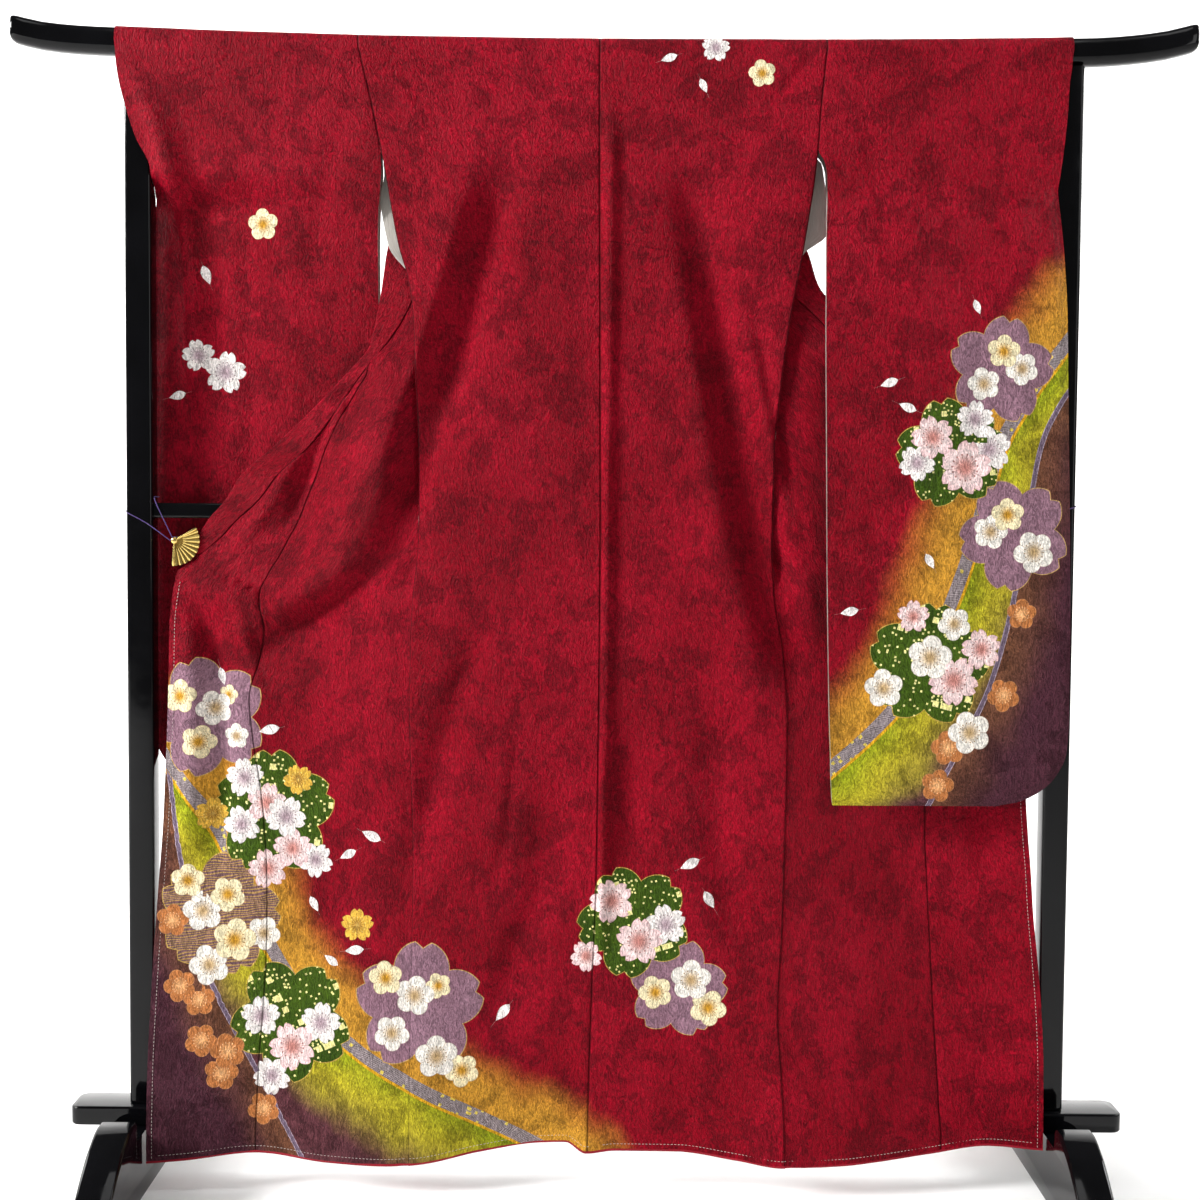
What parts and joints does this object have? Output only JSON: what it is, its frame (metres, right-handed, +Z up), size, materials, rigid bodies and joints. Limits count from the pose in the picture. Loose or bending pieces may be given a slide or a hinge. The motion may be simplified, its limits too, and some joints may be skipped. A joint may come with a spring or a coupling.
{
  "type": "furisode kimono on display stand",
  "caption": "Long-sleeved formal silk kimono spread open, back outwards, over the top rod of a black lacquered display stand, front edges held to the posts by fan-shaped clips.",
  "frame": {"origin": "centre of the stand's footprint on the floor", "axes": "+X to the right of someone facing the back of the garment, +Y away from them, +Z up"},
  "size_m": [1.69, 0.516, 1.69],
  "materials": {
    "silk_crepe": "crimson silk crepe with a soft sheen, dyed flowers and gold outlines",
    "black_lacquer": "polished black lacquer over wood",
    "gilt_metal": "bright gilt metal",
    "purple_cord": "thin twisted purple cord"
  },
  "bodies": {
    "root": {"rod": "black_lacquer", "crossbar": "black_lacquer", "lower_rail": "black_lacquer", "post_left": "black_lacquer", "foot_left": "black_lacquer", "body_left": "silk_crepe", "overlap_left": "silk_crepe", "sleeve_left": "silk_crepe", "clip_left": "gilt_metal", "tie_cord_left": "purple_cord", "post_right": "black_lacquer", "foot_right": "black_lacquer", "body_right": "silk_crepe", "overlap_right": "silk_crepe", "sleeve_right": "silk_crepe", "clip_right": "gilt_metal", "tie_cord_right": "purple_cord", "collar": "silk_crepe"}
  },
  "joints": []
}
